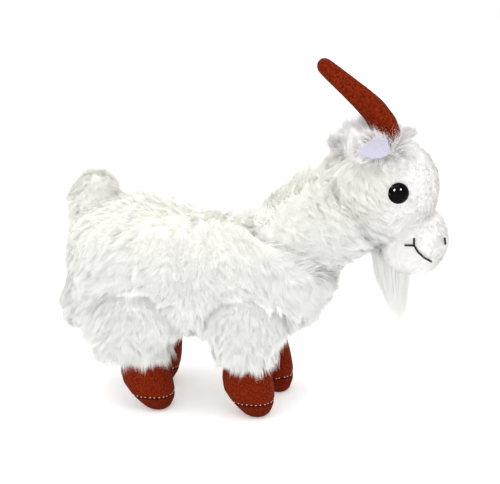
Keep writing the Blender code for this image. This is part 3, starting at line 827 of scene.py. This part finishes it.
def cheek_flow(p, n):
    """Down behind the eye, and forwards towards the jaw."""
    low = 1 - ramp01(p[:, 2], 132, 152)
    return np.stack([0.25 + 0.7 * low, 0 * low, -0.85 + 0.6 * low], axis=1)


grow(
    head, "head_fur", "head", MAT["fur"], count=30000, length=same_length(8.5), seed=32,
    flow=cheek_flow, stand=34, lay=80, clump=3.6, gather=0.25,
    weight=lambda p, n: (1 - face_area(p)) * (p[:, 2] < 163) * (off_eye(p) > EYE_R + 5), tint=creamy_with_painted_top_light,
)


def crown_flow(p, n):
    """Up and back behind the horns, curling down over the brow in front of them."""
    front = ramp01(p[:, 0], 80, 90)
    return np.stack([-0.5 + 1.3 * front, 0.25 * sideways(p), 0.9 - 1.2 * front], axis=1)


def crown_length(p, n):
    """Shorter over the brow."""
    return 12.5 - 5 * ramp01(p[:, 0], 84, 94)


grow(
    head, "crown_fur", "head", MAT["crown"], count=15000, length=crown_length, seed=33,
    flow=crown_flow, stand=14, lay=58, clump=3.2, gather=0.32, steps=4, wiggle=0.6,
    weight=lambda p, n: (p[:, 2] > 157) * (1 - face_area(p)),
)


def eye_bead(name, side):
    """A safety eye with a high dome and a flatter back, facing straight out of the head."""
    out_x = (EYE[0] - HEAD[0]) / FACE_STRETCH
    out_z = EYE[1] - HEAD[2]
    out_y = math.sqrt(HEAD_R ** 2 - out_x ** 2 - out_z ** 2)
    base = Vector((EYE[0], side * out_y, EYE[1]))
    outward = Vector((out_x / FACE_STRETCH, side * out_y, out_z)).normalized()
    bm = bmesh.new()
    made = bmesh.ops.create_uvsphere(bm, u_segments=48, v_segments=32, radius=EYE_R)
    for vert in made["verts"]:
        height = vert.co.z / EYE_R
        vert.co.z = (EYE_DOME if height > 0 else EYE_BACK) * height
    turn = Vector((0, 0, 1)).rotation_difference(outward).to_matrix().to_4x4()
    placed = Matrix.Scale(MM, 4) @ Matrix.Translation(base) @ turn
    bmesh.ops.transform(bm, matrix=placed, verts=made["verts"])
    mesh = bpy.data.meshes.new(name)
    bm.to_mesh(mesh)
    bm.free()
    mesh.shade_smooth()
    return add_object(name, mesh, MAT["eye"], "head")


def ear(name, side):
    """A furry back and a smooth pad, with a fringe of fur round the rear edge of the pad."""
    body = "ear_" + name
    opening = np.array((EAR_FACE[0], EAR_FACE[1] * side, EAR_FACE[2]))
    outer = remeshed(
        "ear_back_" + name, ["ear_outer_" + name], voxel=0.6, smooth=4, material=MAT["backing"]
    )
    shrink(outer, EAR_BACK_SHARE, EAR_LIFT)
    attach(outer, "ear_" + name)
    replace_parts(outer, "ear_outer_" + name)
    inner = remeshed(
        "ear_pad_" + name, ["ear_inner_" + name], voxel=0.6, smooth=6, material=MAT["ear"]
    )
    shrink(inner, EAR_PAD_SHARE, EAR_LIFT)
    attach(inner, "ear_" + name)
    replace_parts(inner, "ear_inner_" + name)
    grow(
        outer, "ear_fur_" + name, body, MAT["crown"], count=4000, length=same_length(7), seed=40 + side,
        flow=same_way(-0.8, 0.3 * side, 0.3), stand=20, lay=66, clump=3.0, gather=0.4,
        weight=lambda p, n: (n @ opening < 0.5) * 1.0,
    )
    grow(
        inner, "ear_fringe_" + name, body, MAT["crown"], count=900, length=same_length(5.5), seed=60 + side,
        flow=same_way(-0.7, 0.1 * side, -0.1), stand=24, lay=70, clump=2.4, gather=0.4,
        weight=lambda p, n: (np.abs(n @ opening) < 0.6) * (p[:, 0] < 81),
    )


for name, side in SIDES.items():
    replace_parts(eye_bead("eye_bead_" + name, side), "eye_" + name)
    horn_nodes = ["horn_skin_" + name, "horn_filling_" + name]
    skin(
        "horn_cloth_" + name, horn_nodes, "horn_" + name, voxel=0.7, smooth=14, material=MAT["rust"]
    )
    ear(name, side)

# ---------------------------------------------------------------- beard

beard = remeshed("beard_core", ["beard"], voxel=1.2, smooth=22, material=MAT["beard_cloth"])
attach(beard, "beard")
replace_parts(beard, "beard")


def narrowed(points):
    """The beard's firm middle: as wide as the piece under the chin, drawn up and in towards the tip."""
    top = points[:, 2].max()
    drop = (top - points[:, 2]) / (top - points[:, 2].min())
    middle = BEARD_NEW_MIDDLE + drop[:, None] * BEARD_LEAN
    slim = (points - BEARD_OLD_MIDDLE) * (0.6 - 0.5 * drop)[:, None] + middle
    return np.stack([slim[:, 0], slim[:, 1], top - BEARD_CORE * drop], axis=1)


def hanging_strands(name, count, seed, width=0.13, steps=6):
    """Loose strands that start in a wide line under the chin and run together at the beard's tip."""
    rng = np.random.default_rng(seed)
    u = rng.uniform(-1, 1, count)
    v = rng.uniform(-1, 1, count) * np.sqrt(1 - u * u)
    root = CHIN + np.stack([u, v, u], axis=1) * CHIN_HALF + 0.8 * rng.normal(size=(count, 3))
    reach = rng.beta(4.0, 1.0, count)
    spread = rng.normal(size=(count, 3)) * BEARD_SCATTER
    s = np.linspace(0, 1, steps)[None, :] * reach[:, None]
    bend = s ** rng.uniform(1.7, 2.6, (count, 1))
    target = BEARD_TIP + spread
    across = root[:, None, :2] + (target - root)[:, None, :2] * bend[:, :, None]
    height = root[:, None, 2] + (target - root)[:, None, 2] * s
    curves = np.concatenate([across, height[:, :, None]], axis=2)
    widths = width * np.clip(1 - np.linspace(0, 1, steps) ** 2, 0.08, 1)[None, :].repeat(count, 0)
    facing = unit(np.stack([0.4 * u, v + 0.05 * rng.normal(size=count), 0.15 + 0 * u], axis=1))
    return strand_mesh(name, curves, widths, facing, rng.uniform(0.2, 0.8, count))


move_points(beard.data, narrowed(points_of(beard.data)))
add_object("beard_fur", hanging_strands("beard_fur", 2200, 44), MAT["beard"], "beard")

# ---------------------------------------------------------------- studio

bpy.ops.mesh.primitive_plane_add(size=6)
floor = bpy.context.object
floor.name = "floor"
floor_material, _, _, floor_shader = new_material("pale_floor")
floor_shader.inputs["Base Color"].default_value = (0.93, 0.93, 0.93, 1)
floor_shader.inputs["Roughness"].default_value = 0.9
floor_shader.inputs["Emission Color"].default_value = (1, 1, 1, 1)
floor_shader.inputs["Emission Strength"].default_value = FLOOR_GLOW
floor.data.materials.append(floor_material)


def area_light(name, place, target, size, power):
    """A square lamp that looks at the target; place, target and size are in metres, power in watts."""
    light = bpy.data.lights.new(name, "AREA")
    light.shape = "SQUARE"
    light.size = size
    light.energy = power
    holder = bpy.data.objects.new(name, light)
    holder.location = Vector(place)
    holder.rotation_euler = (Vector(target) - Vector(place)).to_track_quat("-Z", "Y").to_euler()
    bpy.context.scene.collection.objects.link(holder)
    return holder


area_light("top_soft", (-0.1, -0.3, 1.3), LIGHT_AIM, size=1.0, power=9.0)
area_light("front_soft", (-0.15, -1.5, 0.75), LIGHT_AIM, size=1.0, power=1.0)

eyes = bpy.data.collections.new("eyes")
for name in SIDES:
    eyes.objects.link(bpy.data.objects["eye_bead_" + name])


def catch_light(name, way, size, power):
    """A small lamp that lights the eyes only, placed where the right one's dome mirrors it to the camera."""
    eye = np.array((EYE[0], -EYE_OUT, EYE[1])) * MM
    lamp = area_light(name, eye + np.array(way) * CATCH_DISTANCE, eye, size, power)
    lamp.data.shape = "DISK"
    lamp.light_linking.receiver_collection = eyes


catch_light("catch_left", (-0.27, -0.82, 0.505), size=0.15, power=24.0)
catch_light("catch_right", (0.59, -0.625, 0.511), size=0.10, power=10.0)

world = bpy.data.worlds.new("studio")
world.use_nodes = True
sky = world.node_tree.nodes["Background"]
sky.inputs["Color"].default_value = (1.0, 1.0, 1.0, 1)
sky.inputs["Strength"].default_value = 1.0
scene = bpy.context.scene
scene.world = world
scene.view_settings.view_transform = "Standard"
# white fur passes light on many times before it leaves
scene.cycles.max_bounces = 16
scene.cycles.diffuse_bounces = 14

camera = bpy.data.cameras.new("camera")
camera.lens = CAMERA_LENS
camera.clip_start = 0.01
holder = bpy.data.objects.new("camera", camera)
out_x = CAMERA_DISTANCE * math.sin(CAMERA_YAW)
out_y = -CAMERA_DISTANCE * math.cos(CAMERA_YAW)
holder.location = (out_x, out_y, CAMERA_Z)
holder.rotation_euler = (math.pi / 2 - CAMERA_PITCH, 0, CAMERA_YAW)
scene.collection.objects.link(holder)
scene.camera = holder
